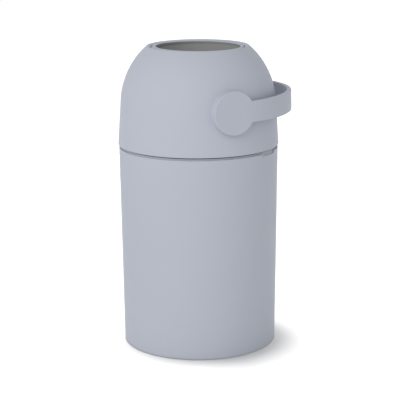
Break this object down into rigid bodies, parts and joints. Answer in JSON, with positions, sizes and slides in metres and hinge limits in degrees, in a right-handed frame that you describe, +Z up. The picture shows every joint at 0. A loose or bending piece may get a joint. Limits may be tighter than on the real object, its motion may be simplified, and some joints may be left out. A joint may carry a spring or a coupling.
{
  "type": "nappy bin",
  "caption": "Round nappy bin with a lift-off domed head, a loop handle that flips the ball drum in it, and a drop piston that pushes the nappy out.",
  "frame": {"origin": "centre of the foot ring's underside, on the floor", "axes": "+Z up; the drum's axle lies along Y; the handle's loop points along +X at rest"},
  "size_m": [0.3233, 0.3106, 0.5593],
  "materials": {
    "shell_plastic": "satin moulded, pale grey-blue",
    "ring_plastic": "satin moulded, pale grey-blue",
    "liner_plastic": "satin moulded, neutral grey",
    "bush_plastic": "natural acetal",
    "seal_rubber": "soft moulded rubber",
    "screw_steel": "zinc plated"
  },
  "bodies": {
    "bin": {"bucket": "shell_plastic", "bag_ring": "ring_plastic", "rim_gasket": "seal_rubber"},
    "head": {"head_shell": "shell_plastic", "head_frame": "shell_plastic", "frame_screws": "screw_steel", "spigot_seal": "seal_rubber", "top_seal": "seal_rubber", "bottom_seal": "seal_rubber", "bush_front": "bush_plastic", "bush_rear": "bush_plastic"},
    "drum": {"drum_upper": "shell_plastic", "drum_lower": "shell_plastic", "barrel_liner": "liner_plastic", "end_ring_upper": "liner_plastic", "end_ring_lower": "liner_plastic", "axle_front": "bush_plastic", "axle_rear": "bush_plastic", "handle": "shell_plastic", "handle_screws": "screw_steel"},
    "piston": {"piston_upper": "liner_plastic", "piston_lower": "liner_plastic", "piston_seal": "seal_rubber", "piston_weight": "screw_steel"}
  },
  "joints": [
    {"name": "head_lift", "type": "slide", "parent": "bin", "child": "head", "axis": [0, 0, 1], "range_m": [0, 0.2]},
    {"name": "handle_flip", "type": "hinge", "parent": "head", "child": "drum", "pos_m": [0, 0, 0.4552], "axis": [0, -1, 0], "range_deg": [0, 180]},
    {"name": "piston_drop", "type": "slide", "parent": "drum", "child": "piston", "axis": [0, 0, 1], "range_m": [0, 0.1588]}
  ]
}
